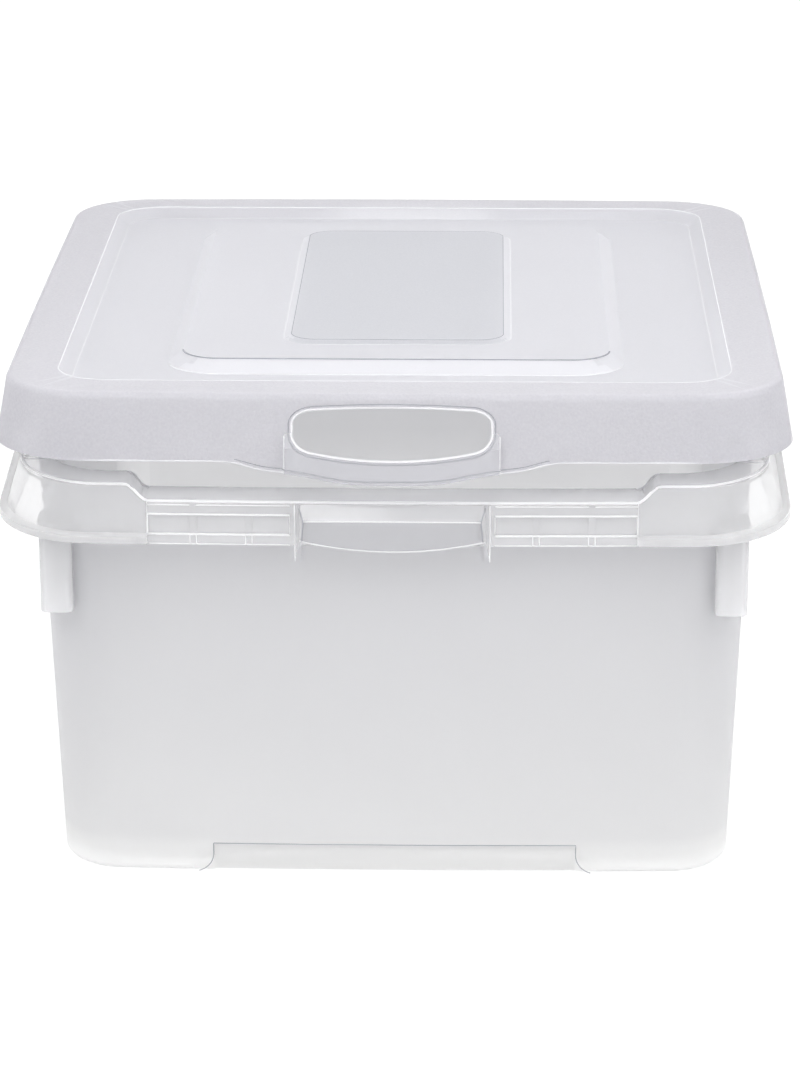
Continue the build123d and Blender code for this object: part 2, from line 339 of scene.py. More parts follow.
    def _surface(self, tree: Tree, place: Socket) -> Socket:
        """Relief of the mould's surface: faint waves when polished, and grain when not.

        Args:
            tree: Node tree of the material.
            place: Object coordinates.

        Returns:
            Output socket with the bumped normal.
        """
        if self.grain is Grain.POLISHED:
            waves = add_node(
                tree,
                "ShaderNodeTexNoise",
                inputs={"Vector": place, "Scale": 1 / (self.wave_mm * MM), "Detail": 1.0},
            )
            strength, depth_mm = self.wave_strength, self.wave_depth_mm
            height = waves.outputs["Fac"]
        else:
            strength, depth_mm = GRAIN_RELIEF[self.grain], self.grain_depth_mm
            height = self._pits(tree, place)
        bump = add_node(
            tree,
            "ShaderNodeBump",
            inputs={"Strength": strength, "Distance": depth_mm * MM, "Height": height},
        )
        return bump.outputs["Normal"]

    def _pits(self, tree: Tree, place: Socket) -> Socket:
        """Pits that the eroded mould left in the plastic, from 0 to 1.

        Real spark grain is about 0.1 mm wide. It is drawn up to ten times coarser, so that it
        shows.

        Args:
            tree: Node tree of the material.
            place: Object coordinates.

        Returns:
            Output socket with the pits.
        """
        scale = 1 / (self.grain_mm * MM)
        pits = add_node(
            tree,
            "ShaderNodeTexNoise",
            inputs={"Vector": place, "Scale": scale, "Detail": 2.0, "Roughness": 0.6},
        )
        return pits.outputs["Fac"]


@dataclass(frozen=True)
class Bead:
    """Thin rounded edge: the path of its middle, its radius, and whether the path joins up."""

    path: np.ndarray
    radius: float
    closed: bool = False
    across: tuple[float, float, float] = (0.0, 0.0, 1.0)

    def rings(self, sides: int) -> np.ndarray:
        """Carry a circle along the path.

        Each ring is the path point plus radius times (cosine times side + sine times rise), where
        side is square to the path and to the across direction, and rise is square to both.

        Args:
            sides: Points round each ring.

        Returns:
            Array of rings by points by coordinates, in millimetres.
        """
        if self.closed:
            along = np.roll(self.path, -1, axis=0) - np.roll(self.path, 1, axis=0)
        else:
            along = np.gradient(self.path, axis=0)
        along = along / np.linalg.norm(along, axis=1, keepdims=True)
        side = np.cross(along, self.across)
        side /= np.linalg.norm(side, axis=1, keepdims=True)
        rise = np.cross(side, along)
        turn = np.linspace(0, 2 * np.pi, sides, endpoint=False)[None, :, None]
        ring = np.cos(turn) * side[:, None, :] + np.sin(turn) * rise[:, None, :]
        return self.path[:, None, :] + self.radius * ring

    def faces(self, sides: int, start: int) -> list[list[int]]:
        """Quads between the rings, and caps on the ends of an open path.

        Args:
            sides: Points round each ring.
            start: Number of the bead's first point in its mesh.

        Returns:
            Corner numbers of every face.
        """
        count = len(self.path)
        spans = count if self.closed else count - 1
        row = np.arange(spans)[:, None]
        column = np.arange(sides)[None, :]
        next_row = (row + 1) % count
        next_column = (column + 1) % sides
        corners = (
            next_row * sides + column,
            next_row * sides + next_column,
            row * sides + next_column,
            row * sides + column,
        )
        quads = np.stack([np.broadcast_to(c, (spans, sides)) for c in corners], axis=-1)
        faces = (quads.reshape(-1, 4) + start).tolist()
        if not self.closed:
            ring = np.arange(sides) + start
            faces.append(ring.tolist())
            faces.append((ring[::-1] + (count - 1) * sides).tolist())
        return faces


def bead_piece(name: str, beads: list[Bead], sides: int = 8) -> bpy.types.Object:
    """Join thin rounded edges into one piece.

    Args:
        name: Name of the new piece.
        beads: The edges, in the row frame.
        sides: Points round each bead.

    Returns:
        The new piece.
    """
    points = [bead.rings(sides).reshape(-1, 3) for bead in beads]
    starts = np.concatenate([[0], np.cumsum([len(p) for p in points])])
    faces = [face for bead, start in zip(beads, starts) for face in bead.faces(sides, int(start))]
    mesh = bpy.data.meshes.new(name)
    mesh.from_pydata((np.vstack(points) * MM).tolist(), [], faces)
    mesh.validate()
    mesh.shade_smooth()
    return show(name, mesh)


def both_ends(bead: Bead) -> list[Bead]:
    """The bead on the front, and its mirror image on the rear."""
    return [bead, replace(bead, path=bead.path * MIRROR_Y)]


def four_ways(bead: Bead) -> list[Bead]:
    """The bead at the front right, and its mirror images at the other three corners."""
    return both_ends(bead) + both_ends(replace(bead, path=bead.path * MIRROR_X))


def line(x: np.ndarray | float, y: np.ndarray | float, z: np.ndarray | float) -> np.ndarray:
    """Points of a path from its three coordinates, any of which may be one number."""
    return np.column_stack(np.broadcast_arrays(x, y, z)).astype(float)


def rounded_loop(half_x: float, half_y: float, radius: float, count: int = 640) -> np.ndarray:
    """Rounded rectangle seen from above, as evenly spaced points.

    The loop is walked by its length: four straight sides and four quarter circles.

    Args:
        half_x: Half its width.
        half_y: Half its depth.
        radius: Radius of its corners.
        count: Number of points.

    Returns:
        Array of x and y, from the low end of the right side, counter-clockwise.
    """
    flat_x = half_x - radius
    flat_y = half_y - radius
    lengths = np.tile([2 * flat_y, np.pi / 2 * radius, 2 * flat_x, np.pi / 2 * radius], 2)
    ends = np.concatenate([[0], np.cumsum(lengths)])
    way = np.linspace(0, ends[-1], count, endpoint=False)
    part = np.searchsorted(ends, way, side="right") - 1
    share = (way - ends[part]) / lengths[part]
    centre_x = flat_x * np.array([1, 1, 1, -1, -1, -1, -1, 1])[part]
    centre_y = flat_y * np.array([-1, 1, 1, 1, 1, -1, -1, -1])[part]
    start = np.pi / 2 * np.array([0, 0, 1, 1, 2, 2, 3, 3])[part]
    on_corner = part % 2 == 1
    angle = start + np.where(on_corner, share * np.pi / 2, 0)
    step_x = np.array([0, 0, -2 * flat_x, 0, 0, 0, 2 * flat_x, 0])[part]
    step_y = np.array([2 * flat_y, 0, 0, 0, -2 * flat_y, 0, 0, 0])[part]
    x = centre_x + radius * np.cos(angle) + np.where(on_corner, 0, share * step_x)
    y = centre_y + radius * np.sin(angle) + np.where(on_corner, 0, share * step_y)
    return np.column_stack([x, y])


def bowed_loop(half_x: float, half_y: float, radius: float, count: int = 640) -> np.ndarray:
    """Rounded rectangle with bowed sides, seen from above, as evenly spaced points.

    Each point of the plain loop moves in by the bow times the square of its share of the way to
    the corner.

    Args:
        half_x: Half its width.
        half_y: Half its depth.
        radius: Radius of its corners.
        count: Number of points.

    Returns:
        Array of x and y.
    """
    x, y = rounded_loop(half_x, half_y, radius, count).T
    bowed_x = x - np.sign(x) * BOW_SIDE * (y / half_y) ** 2
    bowed_y = y - np.sign(y) * BOW_FRONT * (x / half_x) ** 2
    return np.column_stack([bowed_x, bowed_y])


def smooth_share(value: np.ndarray, low: float, high: float) -> np.ndarray:
    """0 below low, 1 above high, and an S curve between: 3 t squared minus 2 t cubed."""
    share = np.clip((value - low) / (high - low), 0, 1)
    return share * share * (3 - 2 * share)


def clamped_curve(at: np.ndarray, knots: np.ndarray, heights: np.ndarray) -> np.ndarray:
    """Cubic curve through points, level at both ends.

    The slopes at the points solve the usual three-term rows that make the bend continuous.

    Args:
        at: Places to work the curve out.
        knots: Places of the points, rising.
        heights: Heights of the points.

    Returns:
        Heights at the places asked for.
    """
    gaps = np.diff(knots)
    rises = np.diff(heights) / gaps
    count = len(knots)
    rows = np.eye(count)
    right = np.zeros(count)
    inner = np.arange(1, count - 1)
    rows[inner, inner - 1] = gaps[1:]
    rows[inner, inner] = 2 * (gaps[1:] + gaps[:-1])
    rows[inner, inner + 1] = gaps[:-1]
    right[inner] = 3 * (gaps[1:] * rises[:-1] + gaps[:-1] * rises[1:])
    slopes = np.linalg.solve(rows, right)
    part = np.clip(np.searchsorted(knots, at) - 1, 0, count - 2)
    gap = gaps[part]
    share = np.clip((at - knots[part]) / gap, 0, 1)
    rest = 1 - share
    low = heights[part] * (1 + 2 * share) * rest**2 + gap * slopes[part] * share * rest**2
    next_slope = gap * slopes[part + 1]
    high = heights[part + 1] * share**2 * (3 - 2 * share) - next_slope * share**2 * rest
    return low + high


def skin_of(node: str, name: str, sharp_deg: float = 21.0) -> bpy.types.Object:
    """Copy a CAD node, join its loose triangles and shade its round faces smoothly.

    Args:
        node: Name of the CAD node.
        name: Name of the new piece.
        sharp_deg: Edges bent by more than this stay crisp.

    Returns:
        The new piece, which stands for the node.
    """
    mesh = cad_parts[node].data.copy()
    mesh.name = name
    piece = show(name, mesh)
    weld_and_smooth(mesh, sharp_deg)
    even = piece.modifiers.new("flat faces stay flat", "WEIGHTED_NORMAL")
    even.keep_sharp = True
    even.weight = LARGE_FACES_LEAD
    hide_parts(node)
    return piece


def weld_and_smooth(mesh: bpy.types.Mesh, sharp_deg: float, weld_mm: float = 0.002) -> None:
    """Merge the doubles of a mesh and shade it smooth, apart from its crisp edges.

    Args:
        mesh: Mesh to finish.
        sharp_deg: Edges bent by more than this stay crisp.
        weld_mm: Corners closer than this are one.
    """
    work = bmesh.new()
    work.from_mesh(mesh)
    bmesh.ops.remove_doubles(work, verts=work.verts, dist=weld_mm * MM)
    work.to_mesh(mesh)
    work.free()
    if "custom_normal" in mesh.attributes:
        mesh.attributes.remove(mesh.attributes["custom_normal"])
    mesh.shade_smooth()
    mesh.set_sharp_from_angle(angle=math.radians(sharp_deg))


def face_middles(mesh: bpy.types.Mesh) -> np.ndarray:
    """Middle of every face, in millimetres.

    Args:
        mesh: Mesh to read.

    Returns:
        Array of one row per face.
    """
    middles = np.empty(len(mesh.polygons) * 3)
    mesh.polygons.foreach_get("center", middles)
    return middles.reshape(-1, 3) / MM


def face_directions(mesh: bpy.types.Mesh) -> np.ndarray:
    """Way every face looks, as one unit arrow per face."""
    directions = np.empty(len(mesh.polygons) * 3)
    mesh.polygons.foreach_get("normal", directions)
    return directions.reshape(-1, 3)


def dress(
    mesh: bpy.types.Mesh, finishes: list[MouldedPolypropylene], numbers: np.ndarray
) -> None:
    """Give a mesh its finishes, and every face the finish with its number.

    Args:
        mesh: Mesh to dress.
        finishes: The finishes, counted from zero.
        numbers: One number per face.
    """
    mesh.materials.clear()
    for finish in finishes:
        mesh.materials.append(finish.build())
    mesh.polygons.foreach_set("material_index", numbers.astype(np.int32))


def painted_highlight_edge(name: str) -> MouldedPolypropylene:
    """Polished rounded edge with a pale veil: a painted highlight that shows as a thin pale line.
    """
    return MouldedPolypropylene(
        name=name, veil="#FBFBFC", milkiness=0.75, slant_milkiness=0.85, roughness=0.08
    )


def painted_shade_edge(name: str) -> MouldedPolypropylene:
    """Tight inner corner with a grey veil: a painted shade that shows as a thin grey line."""
    return MouldedPolypropylene(
        name=name, veil="#B9BAC0", milkiness=0.7, slant_milkiness=0.8, roughness=0.12
    )


@dataclass
class Tub:
    """Tub with its collar, catches, ribs, legs and feet.

    X is half a width, y half a depth and r a corner's radius. A gap is how far a line stops short
    of the edge that it runs up to, and a face looks in when it looks forwards by more than inward.
    Margin and behind are the room left when a face is judged by where its middle lies.
    """

    wall_finish: MouldedPolypropylene = MouldedPolypropylene(
        name="Natural polypropylene, tub wall",
        milkiness=0.36,
        slant_milkiness=0.66,
        roughness=0.31,
        # Painted light: paler near the table and greyer towards the top under the lid.
        painted_light_by_height=(
            (0.0, "#F8F8F7"),
            (11.0, "#F6F6F5"),
            (15.0, "#ECECEC"),
            (60.0, "#E6E6E7"),
            (150.0, "#DBDBDE"),
        ),
    )
    collar_finish: MouldedPolypropylene = MouldedPolypropylene(
        name="Natural polypropylene, collar",
        veil="#FCFCFC",
        milkiness=0.26,
        slant_milkiness=0.46,
        roughness=0.06,
    )
    # Painted shade: a grey veil on the catch's set-back panel under the crest.
    catch_shade_finish: MouldedPolypropylene = MouldedPolypropylene(
        name="Natural polypropylene, catch panel in painted shade",
        veil="#C9C9CC",
        milkiness=0.55,
        slant_milkiness=0.6,
        roughness=0.16,
    )
    # Painted shade of the lid on the upper middle of the rear wall's inside, fading out to the
    # sides.
    painted_rear_shade_finish: MouldedPolypropylene = MouldedPolypropylene(
        name="Natural polypropylene, inside of the rear wall",
        veil="#E6E6E7",
        milkiness=0.52,
        slant_milkiness=0.66,
        roughness=0.31,
        painted_light_by_height=(
            (0.0, "#F2F2F2"),
            (44.0, "#E6E6E7"),
            (72.0, "#C4C4C8"),
            (150.0, "#C4C4C8"),
        ),
        painted_shade_half_mm=(48.0, 100.0),
    )
    # Painted light: a paler veil that lifts the shade under the ledge on the legs.
    leg_lit_finish: MouldedPolypropylene = MouldedPolypropylene(
        name="Natural polypropylene, corner legs with painted light",
        veil="#F2F2F3",
        milkiness=0.5,
        slant_milkiness=0.66,
        roughness=0.2,
    )
    ledge_x: float = 149.94
    ledge_y: float = 176.0
    ledge_r: float = 38.0
    ledge_mid: float = 146.6
    ledge_thick: float = 2.8
    ledge_top: float = 148.0
    collar_x: float = 147.2
    collar_y: float = 171.6
    collar_lean: float = 1.6
    collar_tall: float = 18.0
    rim_x: float = 141.0
    rim_y: float = 169.5
    rim_r: float = 30.5
    rim_top: float = 167.0
    rim_low: float = 161.0
    step_from: float = 90.5
    step_to: float = 99.5
    low_rim_out: float = 1.3
    lip_r: float = 0.55
    panel_x: tuple[float, float] = (38.0, 91.0)
    panel_top: float = 155.6
    bead_line: float = 159.2
    bead_out: float = 0.6
    band_y: float = 171.7
    band_bottom: float = 143.7
    post_x: float = 36.2
    post_bottom: float = 137.3
    crest_y: float = 175.5
    crest_z: float = 154.6
    crest_half: float = 32.9
    bulge_half: float = 34.5
    bulge_foot_z: float = 141.5
    bulge_end_z: float = 146.0
    rib_x: tuple[float, float] = (53.3, 74.0)
    rib_half: float = 1.2
    corner_at: tuple[float, float] = (105.75, 128.75)
    corner_r: float = 24.0
    base_x: float = 129.75
    base_y: float = 152.75
    draft_deg: float = 2.1
    relief_half: float = 70.0
    relief_flare: float = 8.0
    relief_top: float = 12.3
    relief_start: float = 0.28
    collar_from: float = 143.0
    leg_from: float = 100.0
    ledge_end_x: float = 92.0
    band_lip: float = 0.2
    lip_sink: float = 0.8
    end_out: float = 0.2
    inner_back: float = 0.3
    behind: float = 1.0
    inward: float = 0.9
    foot_gap: float = 0.3
    rim_gap: float = 0.6
    post_gap: float = 1.2
    catch_gap: float = 1.5
    margin: float = 0.3

    def wall_face(self, x: np.ndarray | float, z: np.ndarray | float) -> np.ndarray:
        """Y of the front wall: it leans out with height and bows back with the square of x."""
        grow = z * math.tan(math.radians(self.draft_deg))
        return -(self.base_y + grow) + BOW_FRONT * (x / self.base_x) ** 2

    def collar_face(
        self, x: np.ndarray | float, z: np.ndarray | float, out: float = 0.0
    ) -> np.ndarray:
        """Y of the collar's front: it leans back with height and bows back with the square of x.

        Args:
            x: Places across the front.
            z: Heights.
            out: How far in front of the plain collar.

        Returns:
            Y of the face.
        """
        lean = self.collar_lean * (np.asarray(z) - self.ledge_top) / self.collar_tall
        return -(self.collar_y + out - lean) + BOW_FRONT * (np.asarray(x) / self.collar_x) ** 2

    def band_face(self, x: np.ndarray | float) -> np.ndarray | float:
        """Y of the band under the ledge, which stands upright and bows with the square of x."""
        return -self.band_y + BOW_FRONT * (x / self.collar_x) ** 2

    def catch_face(self, z: np.ndarray | float) -> np.ndarray:
        """Y of the catch's front: straight out from its foot to the crest, then back to the rim."""
        heights = [self.post_bottom, self.crest_z, self.rim_low]
        return -np.interp(z, heights, [self.collar_y, self.crest_y, self.rim_y])

    def relief_outline(self) -> list[Bead]:
        """Painted shade on the edge of the base's shallow room: up each flared end and along its
        top.
        """
        turn = np.linspace(self.relief_start, np.pi / 2, num=14)
        flare_x = self.relief_half + self.relief_flare * (1 - np.sin(turn))
        flare_z = self.relief_flare * (1 - np.cos(turn))
        rise = np.linspace(self.relief_flare, self.relief_top, num=5)[1:]
        x = np.concatenate([flare_x, 0 * rise + self.relief_half])
        z = np.concatenate([flare_z, rise])
        end = line(x, self.wall_face(x, z) + SHALLOW, z)
        across = np.linspace(self.relief_half, -self.relief_half, num=60)[1:]
        top = line(across, self.wall_face(across, self.relief_top) + SHALLOW, self.relief_top)
        paths = (np.vstack([end, top]), end * MIRROR_X)
        beads = [Bead(path, radius=0.2, across=UPRIGHT) for path in paths]
        return [copy for bead in beads for copy in both_ends(bead)]

    def rib_lines(self) -> list[Bead]:
        """Painted highlights on the edges of the small ribs that show in the band under the ledge.
        """
        z = np.linspace(self.band_bottom + self.foot_gap, self.ledge_top - self.rim_gap, num=6)
        edges = [at + side * self.rib_half for at in self.rib_x for side in (-1, 1)]
        paths = [line(at, self.band_face(at), z) for at in edges]
        beads = [Bead(path, radius=0.2, across=UPRIGHT) for path in paths]
        return [copy for bead in beads for copy in four_ways(bead)]

    def collar_lines(self) -> list[Bead]:
        """Pale beads of painted highlight on the rim band, panels, ledge, posts and catches."""
        inner, end = self.panel_x
        x = np.linspace(inner, end, num=48)
        band = self.band_face(x)
        panel_y = self.collar_face(x, self.panel_top, self.bead_out)
        bead_y = self.collar_face(x, self.bead_line, self.bead_out)
        end_z = np.linspace(self.ledge_top, self.rim_low - self.rim_gap, num=12)
        end_y = self.collar_face(end, end_z, self.end_out)
        inner_z = np.linspace(self.ledge_top, self.panel_top, num=8)
        inner_y = self.collar_face(inner, inner_z, -self.inner_back)
        post_z = np.linspace(self.post_bottom + self.foot_gap, self.rim_low - self.post_gap, num=12)
        low_x = np.linspace(-self.bulge_half, self.bulge_half, num=60)
        bulge_rise = self.bulge_end_z - self.bulge_foot_z
        low_z = self.bulge_foot_z + bulge_rise * (low_x / self.bulge_half) ** 2
        crest_x = np.linspace(-self.crest_half, self.crest_half, num=40)
        sides = [
            Bead(line(x, panel_y + SINK, self.panel_top), radius=0.4),
            Bead(line(x, bead_y + SINK, self.bead_line), radius=0.22),
            Bead(line(x, band + DEEP, self.ledge_top - self.band_lip), radius=0.42),
            Bead(line(x, band + SINK, self.band_bottom + self.band_lip), radius=0.28),
            Bead(line(end, end_y, end_z), radius=0.3, across=UPRIGHT),
            Bead(line(inner, inner_y, inner_z), radius=0.25, across=UPRIGHT),
            Bead(line(self.post_x, -self.collar_y + SINK, post_z), radius=0.3, across=UPRIGHT),
        ]
        middle = [
            Bead(line(low_x, self.catch_face(low_z) + SINK, low_z + self.band_lip), radius=0.36),
            Bead(line(crest_x, -self.crest_y + DEEP, self.crest_z), radius=0.22),
        ]
        return [
            *(copy for bead in sides for copy in four_ways(bead)),
            *(copy for bead in middle for copy in both_ends(bead)),
            *self.rib_lines(),
        ]

    def catch_outline(self) -> list[Bead]:
        """Painted shade down both sides of each catch, drawn in where the catch stands out."""
        z = np.linspace(self.bulge_end_z, self.rim_low - self.catch_gap, num=24)
        y = self.catch_face(z)
        out = np.clip((-y - self.collar_y) / (self.crest_y - self.collar_y), 0, 1)
        x = self.bulge_half - (self.bulge_half - self.crest_half) * out
        return four_ways(Bead(line(x, y + SINK, z), radius=0.28, across=UPRIGHT))

    def rim_path(self) -> np.ndarray:
        """Path along the outer top edge of the collar, down over the two S-shaped steps.

        Returns:
            Points of a closed path.
        """
        loop = bowed_loop(self.rim_x, self.rim_y, self.rim_r, count=900)
        up = smooth_share(np.abs(loop[:, 0]), self.step_from, self.step_to)
        z = self.rim_low + (self.rim_top - self.rim_low) * up - self.lip_r * self.lip_sink
        y = loop[:, 1] + np.sign(loop[:, 1]) * self.low_rim_out * (1 - up)
        return line(loop[:, 0], y, z)

    def ledge_paths(self) -> list[np.ndarray]:
        """Outer edge of the full-depth ledge, left and right of the set-back middle.

        Returns:
            Two open paths.
        """
        r = self.ledge_thick / 2
        loop = bowed_loop(self.ledge_x - r, self.ledge_y - r, self.ledge_r - r)
        right = loop[loop[:, 0] > self.ledge_end_x]
        cut = np.argmax(np.linalg.norm(np.diff(right, axis=0), axis=1)) + 1
        right = np.roll(right, -cut, axis=0)
        path = line(right[:, 0], right[:, 1], self.ledge_mid)
        return [path, path[::-1] * MIRROR_X]

    def finish_numbers(self, mesh: bpy.types.Mesh) -> np.ndarray:
        """Choose a finish for every face by where its middle lies and which way it looks.

        Args:
            mesh: The tub's mesh.

        Returns:
            Numbers in the order of the finishes that build gives the mesh.
        """
        x, y, z = face_middles(mesh).T
        corner_x, corner_y = self.corner_at
        grow = z * math.tan(math.radians(self.draft_deg))
        proud = np.abs(y) > -self.catch_face(z) - self.margin
        # Faces below the catch's crest, which get the painted shade.
        on_catch = proud & (np.abs(x) < self.crest_half) & (z < self.crest_z)
        at_corner = (np.abs(x) > corner_x) & (np.abs(y) > corner_y)
        from_corner = np.hypot(np.abs(x) - corner_x, np.abs(y) - corner_y)
        past_corner = at_corner & (from_corner > self.corner_r + grow + self.margin)
        past_front = -np.abs(y) < self.wall_face(x, z) - self.margin
        past_side = past_front | (np.abs(x) > self.base_x + grow + self.margin)
        past_wall = np.where(at_corner, past_corner, past_side)
        # Legs, whose paler veil paints light into the shade under the ledge.
        on_leg = past_corner & (z < self.collar_from) & (z > self.leg_from)
        looks_in = face_directions(mesh)[:, 1] < -self.inward
        # Inner faces of the rear wall, which get the lid's painted shade.
        rear_shaded_inside = looks_in & (y > corner_y) & (y < -self.wall_face(x, z) - self.behind)
        cases = [on_catch & (z > self.bulge_foot_z), past_wall & (z > self.collar_from)]
        return np.select([*cases, on_leg, rear_shaded_inside], [2, 1, 3, 4], 0)

    def build(self) -> None:
        """Build the tub's pieces and give them their finishes."""
        piece = skin_of("tub", "tub_shell")
        walls = [self.wall_finish, self.collar_finish, self.catch_shade_finish]
        finishes = [*walls, self.leg_lit_finish, self.painted_rear_shade_finish]
        dress(piece.data, finishes, self.finish_numbers(piece.data))
        self._ride(piece)
        ledges = [Bead(path, self.ledge_thick / 2 - SINK) for path in self.ledge_paths()]
        # Pale beads are painted highlights and grey beads painted shade, along real rounded edges.
        bright = painted_highlight_edge("Natural polypropylene, rounded edges of the tub").build()
        grey = painted_shade_edge("Natural polypropylene, sides of the catches").build()
        groups = {
            "rim_lip": ([Bead(self.rim_path(), self.lip_r, closed=True)], bright),
            "ledge_edges": (ledges, self.collar_finish.build()),
            "collar_lines": (self.collar_lines(), bright),
            "catch_outline": (self.catch_outline(), grey),
            "relief_outline": (self.relief_outline(), grey),
        }
        for name, (beads, material) in groups.items():
            group = bead_piece(name, beads)
            group.data.materials.append(material)
            self._ride(group)

    def _ride(self, piece: bpy.types.Object) -> None:
        """Fix a piece to the tub's body and log how many faces it has."""
        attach(piece, "tub")
        log.info("%s: %d faces", piece.name, len(piece.data.polygons))


@dataclass
class Lid:
    """Lid with its skirt, windows, band, recess, plateau and pad.

    Heights are from the bottom edge of the closed lid. A triple is half a width, half a depth and a
    corner's radius, a shift is the y of its middle, and a face is level when it looks up or down
    by more than level_from.
    """

    hinge_y: float = 175.0
    hinge_z: float = 155.2
    tilt_deg: float = 4.8
    skirt_bottom: float = 148.4
    recess_x: float = 126.5
    recess_y: float = 152.0
    # Band across the plateau's front slope that gets the painted highlight.
    highlight_from: float = -127.5
    highlight_to: float = -117.5
    pad_x: float = 44.5
    pad_front: float = -95.5
    pad_rear: float = 103.5
    band_finish: MouldedPolypropylene = MouldedPolypropylene(
        name="Spark-grained polypropylene, lid band",
        veil="#D4D3D8",
        milkiness=0.46,
        slant_milkiness=0.60,
        roughness=0.38,
        grain=Grain.SPARKED,
    )
    top_finish: MouldedPolypropylene = MouldedPolypropylene(
        name="Satin polypropylene, lid top",
        veil="#DCDCE1",
        milkiness=0.42,
        slant_milkiness=0.52,
        roughness=0.34,
        grain=Grain.SATIN,
        grain_mm=0.8,
    )
    pad_finish: MouldedPolypropylene = MouldedPolypropylene(
        name="Satin polypropylene, lid pad",
        veil="#D0D1D6",
        milkiness=0.48,
        slant_milkiness=0.58,
        roughness=0.36,
        grain=Grain.SATIN,
        grain_mm=0.8,
    )
    # Painted highlight: a pale veil on the plateau's front slope.
    slope_highlight_finish: MouldedPolypropylene = MouldedPolypropylene(
        name="Satin polypropylene, front slope of the plateau",
        veil="#F0F0F4",
        milkiness=0.5,
        slant_milkiness=0.5,
        roughness=0.34,
        grain=Grain.SATIN,
    )
    # Painted light: a paler veil that lifts the shade of the sloping walls.
    side_lit_finish: MouldedPolypropylene = MouldedPolypropylene(
        name="Satin polypropylene, side walls of the recess and plateau",
        veil="#E6E6EA",
        milkiness=0.5,
        slant_milkiness=0.6,
        roughness=0.36,
        grain=Grain.SATIN,
        grain_mm=0.8,
    )
    tongue_finish: MouldedPolypropylene = MouldedPolypropylene(
        name="Polished polypropylene, lid tongues",
        veil="#DCDCE1",
        milkiness=0.36,
        slant_milkiness=0.5,
        roughness=0.1,
    )
    skirt_x: float = 149.94
    skirt_y: float = 176.0
    skirt_r: float = 38.0
    skirt_slope: float = 0.172
    tongue_x: tuple[float, ...] = (0.0, 18.9, 38.0, 47.6, 62.0)
    tongue_z: tuple[float, ...] = (-8.1, -7.4, -3.9, -2.9, 0.0)
    flare_half: float = 39.5
    flare_out: float = 2.0
    window_x: float = 37.0
    window_top: tuple[float, float] = (20.3, 18.8)
    window_bottom: tuple[float, float] = (0.9, 5.7)
    window_r: float = 7.0
    rim_r: float = 0.55
    lip_r: float = 0.5
    flare_top: float = 11.0
    flare_full: float = 6.0
    recess_top: float = 25.0
    recess_floor: float = 21.0
    recess_slope: float = 5.0
    recess_r: float = 15.0
    plateau_top: float = 24.8
    plateau: tuple[float, float, float] = (81.5, 119.0, 15.0)
    plateau_shift: float = 1.0
    pad_top: float = 26.1
    pad: tuple[float, float, float] = (41.0, 96.0, 10.0)
    pad_shift: float = 4.0
    pad_slope: float = 3.0
    plateau_foot: tuple[float, float, float] = (87.0, 126.25, 20.5)
    plateau_foot_shift: float = -0.75
    plateau_front: float = -104.0
    foot_front: float = -112.0
    flare_blend: float = 1.0
    flare_inset: float = 0.2
    flare_margin: float = 0.1
    lip_lift: float = 0.6
    shade_half: float = 58.0
    shade_up: float = 1.5
    side_from: float = -3.2
    side_gap: float = 1.0
    side_out: float = 0.2
    shade_ring_out: float = 1.1
    outer_sink: float = 0.12
    inner_sink: float = 0.08
    level_from: float = 0.93
    proud: float = 0.15

    def turned(self, points: np.ndarray, tilt_deg: float) -> np.ndarray:
        """Turn points about the hinge, front upwards: y and z by the usual sine and cosine sums.

        Args:
            points: Points in millimetres.
            tilt_deg: Angle to turn them by.

        Returns:
            The turned points.
        """
        turn = math.radians(tilt_deg)
        y = points[:, 1] - self.hinge_y
        z = points[:, 2] - self.hinge_z
        turned_y = y * math.cos(turn) + z * math.sin(turn) + self.hinge_y
        turned_z = -y * math.sin(turn) + z * math.cos(turn) + self.hinge_z
        return line(points[:, 0], turned_y, turned_z)

    def own_place(self, points: np.ndarray) -> np.ndarray:
        """Points of the row frame, turned back to the closed lid, with heights from its edge."""
        return self.turned(points, -self.tilt_deg) - line(0.0, 0.0, self.skirt_bottom)

    def placed(self, beads: list[Bead]) -> list[Bead]:
        """The beads of the closed lid's own frame, where the raised lid has them."""
        lift = line(0.0, 0.0, self.skirt_bottom)
        return [replace(bead, path=self.turned(bead.path + lift, self.tilt_deg)) for bead in beads]

    def slope_face(self, z: np.ndarray | float) -> np.ndarray | float:
        """Y of the plain skirt's front, which leans back with height."""
        return -self.skirt_y + self.skirt_slope * z

    def skirt_face(self, z: np.ndarray) -> np.ndarray:
        """Y of the skirt's front at the window: upright on the flare, then in to the slope."""
        flare = [-self.skirt_y - self.flare_out, self.slope_face(self.flare_top)]
        on_flare = np.interp(z, [self.flare_full, self.flare_top], flare)
        return np.where(z < self.flare_top, on_flare, self.slope_face(z))

    def tongue_dip(self, x: np.ndarray) -> np.ndarray:
        """Height of the skirt's bottom edge: zero, and down over the tongue near the middle."""
        knots = np.array(self.tongue_x)
        return clamped_curve(np.minimum(np.abs(x), knots[-1]), knots, np.array(self.tongue_z))

    def skirt_edge(self) -> np.ndarray:
        """Path along the skirt's bottom edge, down over both tongues and out over their flares.

        Returns:
            Points of a closed path in the lid's own frame.
        """
        lip = self.lip_r
        loop = bowed_loop(self.skirt_x - lip, self.skirt_y - lip, self.skirt_r - lip, count=1000)
        dip = self.tongue_dip(loop[:, 0])
        skirt = np.abs(loop[:, 1]) - self.skirt_slope * dip
        low, high = self.flare_half - self.flare_blend, self.flare_half + self.flare_blend
        on_flare = 1 - smooth_share(np.abs(loop[:, 0]), low, high)
        full = self.skirt_y + self.flare_out - lip - self.flare_inset
        depth = skirt + (full - skirt) * on_flare
        return line(loop[:, 0], np.sign(loop[:, 1]) * depth, dip + lip * self.lip_lift)

